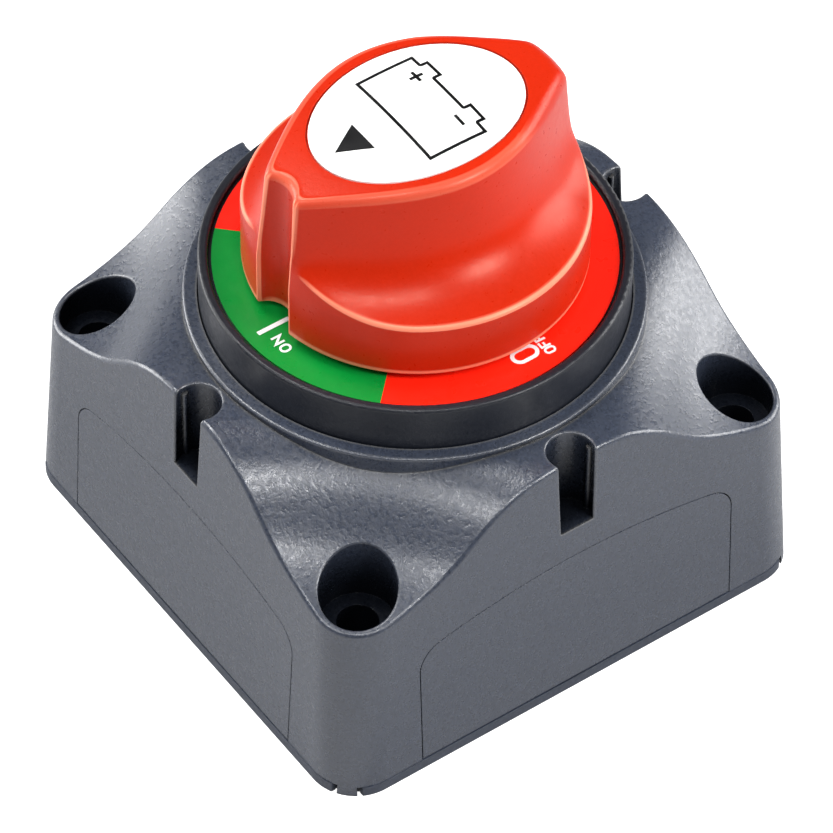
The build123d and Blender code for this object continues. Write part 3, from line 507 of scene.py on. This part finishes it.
def knob_loop(angle):
    """Closed outline of the knob in one half plane, as (radius, height) pairs."""
    crease = crease_z(angle)
    edge = top_edge_r(angle)
    top = dome(wall_r(angle, BROW_Z) - edge)
    turn_z = top - edge
    band = min(CREASE_BAND, (turn_z - crease) / 2)
    heights = spaced(FOOT_Z + FOOT_EDGE_R, crease - band, SKIRT_STEPS)
    heights += spaced(crease - band, crease + band, CREASE_STEPS)
    heights += spaced(crease + band, turn_z, SCOOP_STEPS)
    foot_r = wall_r(angle, FOOT_Z)
    loop = [
        (foot_r - FOOT_EDGE_R * (1 - sin(a)), FOOT_Z + FOOT_EDGE_R * (1 - cos(a)))
        for a in spaced(0, pi / 2, FOOT_STEPS)
    ]
    loop += [(wall_r(angle, z), z) for z in heights]
    for a in spaced(0, pi / 2, BROW_STEPS):
        z = turn_z + edge * sin(a)
        loop.append((wall_r(angle, z) - edge * (1 - cos(a)), z))
    brow = wall_r(angle, top) - edge
    seat = oval_r(angle, LABEL_A, LABEL_B)
    inner = min(seat, brow - SEAT_WALL)
    loop += [(r, dome(r)) for r in spaced(brow, inner + 3 * SEAT_EDGE, TOP_STEPS)]
    loop += [(inner + SEAT_EDGE, dome(inner) - SEAT_EDGE / 2), (inner, dome(inner) - 2 * SEAT_EDGE)]
    loop.append((inner, dome(inner) - LABEL_SINK))
    loop += [(r, dome(r) - LABEL_SINK) for r in spaced(inner - 5 * SEAT_EDGE, SCREW_HEAD_R, SEAT_STEPS)]
    pocket = oval_r(angle, POCKET_ACROSS, POCKET_ALONG)
    loop += [
        (SCREW_HEAD_R, dome(SCREW_HEAD_R) - LABEL_SINK), (SCREW_HEAD_R, SCREW_SEAT_Z),
        (SCREW_R, SCREW_SEAT_Z), (SCREW_R, SHAFT_TOP_Z), (SHAFT_R, SHAFT_TOP_Z),
        (SHAFT_R, HUB_FOOT_Z), (HUB_R, HUB_FOOT_Z), (HUB_R, POCKET_TOP_Z),
        (pocket, POCKET_TOP_Z), (pocket, SHELL_TOP_Z), (SHELL_R, SHELL_TOP_Z),
        (SHELL_R, FOOT_Z),
    ]
    return loop


def knob_angles():
    """Angles of the half planes, closer together across the notch and the grip's back corners."""
    half = []
    start = 0.0
    for end, count in STRETCHES:
        half += spaced(start, end, count)
        start = end
    turns = half + [180.0] + [360 - a for a in reversed(half[1:])]
    return [radians(a) for a in turns]


SHORTEST_EDGE = 0.02 * MM
SHARP_ANGLE = 50


def mark_edges(data):
    """Store how sharply each vertex bends outwards, in 1/mm, for the painted highlight on the knob's
    edges.

    The label's seat and the bore under it get none of that painted highlight, so they are left at zero.
    """
    bend = [0.0] * len(data.vertices)
    for edge in data.edges:
        first, second = (data.vertices[i] for i in edge.vertices)
        span = second.co - first.co
        length = max(span.length, SHORTEST_EDGE)
        turn = (second.normal - first.normal).dot(span) / length ** 2 * MM
        for i in edge.vertices:
            bend[i] = max(bend[i], turn)
    across = (LABEL_A + SEAT_MARGIN) * MM
    along = (LABEL_B + SEAT_MARGIN) * MM
    for i, vertex in enumerate(data.vertices):
        if hypot(vertex.co.x / across, vertex.co.y / along) < 1:
            bend[i] = 0.0
    attribute = data.attributes.new(EDGE_BEND, "FLOAT", "POINT")
    attribute.data.foreach_set("value", bend)


def build_knob():
    """Mesh of the whole knob."""
    columns = []
    mesh = bmesh.new()
    for angle in knob_angles():
        signed = angle if angle <= pi else angle - 2 * pi
        columns.append([
            mesh.verts.new((r * sin(angle) * MM, -r * cos(angle) * MM, z * MM))
            for r, z in knob_loop(signed)
        ])
    for i, column in enumerate(columns):
        after = columns[(i + 1) % len(columns)]
        for j in range(len(column)):
            k = (j + 1) % len(column)
            mesh.faces.new((column[j], after[j], after[k], column[k]))
    bmesh.ops.recalc_face_normals(mesh, faces=mesh.faces)
    for face in mesh.faces:
        face.smooth = True
    data = bpy.data.meshes.new("knob_body")
    mesh.to_mesh(data)
    mesh.free()
    data.set_sharp_from_angle(angle=radians(SHARP_ANGLE))
    mark_edges(data)
    piece = bpy.data.objects.new("knob_body", data)
    scene.collection.objects.link(piece)
    data.materials.append(FINISHES["knob_plastic"])
    return piece


knob_body = build_knob()
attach(knob_body, "knob")
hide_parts("knob")


# ---------------------------------------------------------------- contact spring
# An open coil, which the contact carrier presses flat as the knob turns in the real switch; here it is a
# rigid wire that moves with the bridge.
COIL_R = 8.8
COIL_WIRE_R = 0.45
COIL_TURNS = 2.5


def build_spring():
    """Round wire wound as a helix, with closed ends, inside the CAD coil's own height."""
    low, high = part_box("contact_spring")
    foot = low.z + COIL_WIRE_R * MM
    rise = high.z - low.z - 2 * COIL_WIRE_R * MM
    steps = 150
    sides = 12
    mesh = bmesh.new()
    rings = []
    for i in range(steps + 1):
        turn = 2 * pi * COIL_TURNS * i / steps
        ring = []
        for j in range(sides):
            around = 2 * pi * j / sides
            r = (COIL_R + COIL_WIRE_R * cos(around)) * MM
            z = foot + rise * i / steps + COIL_WIRE_R * sin(around) * MM
            ring.append(mesh.verts.new((r * cos(turn), r * sin(turn), z)))
        rings.append(ring)
    for ring, after in zip(rings, rings[1:]):
        for j in range(sides):
            k = (j + 1) % sides
            mesh.faces.new((ring[j], ring[k], after[k], after[j]))
    mesh.faces.new(rings[0])
    mesh.faces.new(rings[-1])
    bmesh.ops.recalc_face_normals(mesh, faces=mesh.faces)
    for face in mesh.faces:
        face.smooth = len(face.verts) == 4
    data = bpy.data.meshes.new("spring_wire")
    mesh.to_mesh(data)
    mesh.free()
    data.materials.append(FINISHES["spring_steel"])
    piece = bpy.data.objects.new("spring_wire", data)
    scene.collection.objects.link(piece)
    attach(piece, "bridge")
    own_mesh(piece)
    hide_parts("contact_spring")


build_spring()


# ---------------------------------------------------------------- floor, light and camera
FLOOR_HALF = 3.0
FLOOR_GLOW = 0.85
ROOM_LIGHT = 0.14
HORIZON = 0.02
OBJECT_MIDDLE = Vector((0, 0, 0.035))


def build_floor():
    """Plain pale floor that can't be seen from below and lets the lamp under it through."""
    data = bpy.data.meshes.new("floor")
    corners = [(x * FLOOR_HALF, y * FLOOR_HALF, 0) for x, y in ((-1, -1), (1, -1), (1, 1), (-1, 1))]
    data.from_pydata(corners, [], [(0, 1, 2, 3)])
    floor = bpy.data.objects.new("floor", data)
    scene.collection.objects.link(floor)
    look = Shader("floor_paper")
    tooth = look.noise(900, 3, 0.6)
    look.set(
        Base_Color=look.mix(look.spread(tooth, 0.0, 1.0), (0.6, 0.6, 0.6), (0.56, 0.56, 0.56)),
        Roughness=0.9,
        Specular_IOR_Level=0.1,
    )
    # the paper glows near white for the camera only, so that it throws no extra light on the object
    seen = look.add("ShaderNodeLightPath").outputs["Is Camera Ray"]
    look.set(
        Emission_Color=(1.0, 1.0, 1.0),
        Emission_Strength=look.spread(seen, 0.0, FLOOR_GLOW, 0.0, 1.0),
    )
    clear = look.add("ShaderNodeBsdfTransparent")
    choice = look.add("ShaderNodeMixShader")
    see_through = look.add("ShaderNodeMath", operation="MAXIMUM")
    look.link(look.add("ShaderNodeNewGeometry").outputs["Backfacing"], see_through.inputs[0])
    look.link(look.add("ShaderNodeLightPath").outputs["Is Shadow Ray"], see_through.inputs[1])
    look.link(see_through.outputs[0], choice.inputs[0])
    look.link(look.surface.outputs[0], choice.inputs[1])
    look.link(clear.outputs[0], choice.inputs[2])
    look.link(choice.outputs[0], look.tree.nodes["Material Output"].inputs["Surface"])
    data.materials.append(look.material)


def soft_light(name, place, size, watts):
    """Square studio softbox aimed at the middle of the object."""
    data = bpy.data.lights.new(name, "AREA")
    data.size = size
    data.energy = watts
    light = bpy.data.objects.new(name, data)
    scene.collection.objects.link(light)
    light.location = place
    light.rotation_euler = (OBJECT_MIDDLE - Vector(place)).to_track_quat("-Z", "Y").to_euler()


def build_room():
    """White room, dark below the floor so that no light wells up through it."""
    world = bpy.data.worlds.new("studio")
    scene.world = world
    world.use_nodes = True
    tree = world.node_tree
    toward = tree.nodes.new("ShaderNodeTexCoord")
    parts = tree.nodes.new("ShaderNodeSeparateXYZ")
    tree.links.new(toward.outputs["Generated"], parts.inputs["Vector"])
    horizon = tree.nodes.new("ShaderNodeMapRange")
    horizon.inputs["From Min"].default_value = -HORIZON
    horizon.inputs["From Max"].default_value = HORIZON
    horizon.inputs["To Max"].default_value = ROOM_LIGHT
    tree.links.new(parts.outputs["Z"], horizon.inputs["Value"])
    tree.links.new(horizon.outputs["Result"], tree.nodes["Background"].inputs["Strength"])
    tree.nodes["Background"].inputs["Color"].default_value = (1, 1, 1, 1)


def build_lights():
    """Softboxes round the object, and a small lamp under the floor for the underside."""
    soft_light("light_right", (0.13, 0.52, 0.22), 0.3, 2.3)
    soft_light("light_left", (-0.5, -0.28, 0.14), 0.36, 3.4)
    soft_light("light_side", (0.48, 0.22, 0.48), 0.2, 3.2)
    soft_light("light_high_right", (0.32, -0.17, 0.66), 0.12, 1.6)
    soft_light("light_high_front", (0.03, -0.41, 0.63), 0.12, 1.2)
    soft_light("light_under", (-0.3, 0.25, -0.3), 0.15, 3.0)
    soft_light("light_over", (-0.34, -0.12, 0.68), 0.25, 3.0)


def build_camera():
    """Camera above the corner between the ON and OFF sides, turned and tipped a little off the middle."""
    azimuth = radians(54.17)
    elevation = radians(48.83)
    roll = radians(0.68)
    distance = 0.73152
    # how far the middle of the view stands off the origin, for each metre of distance
    aim_right = 0.00069
    aim_up = 0.015244
    back = Vector((
        sin(azimuth) * cos(elevation), -cos(azimuth) * cos(elevation), sin(elevation),
    ))
    level = Vector((cos(azimuth), sin(azimuth), 0))
    rise = back.cross(level)
    right = level * cos(roll) + rise * sin(roll)
    up = rise * cos(roll) - level * sin(roll)
    aim = (-back + right * aim_right + up * aim_up).normalized()
    side = aim.cross(up).normalized()
    data = bpy.data.cameras.new("camera")
    data.sensor_width = 36.0
    data.lens = 255.56
    data.clip_start = 0.01
    camera = bpy.data.objects.new("camera", data)
    scene.collection.objects.link(camera)
    turn = Matrix((side, side.cross(aim), -aim)).transposed()
    camera.matrix_world = Matrix.Translation(back * distance) @ turn.to_4x4()
    scene.camera = camera


build_floor()
build_room()
build_lights()
build_camera()
scene.view_settings.view_transform = "Standard"
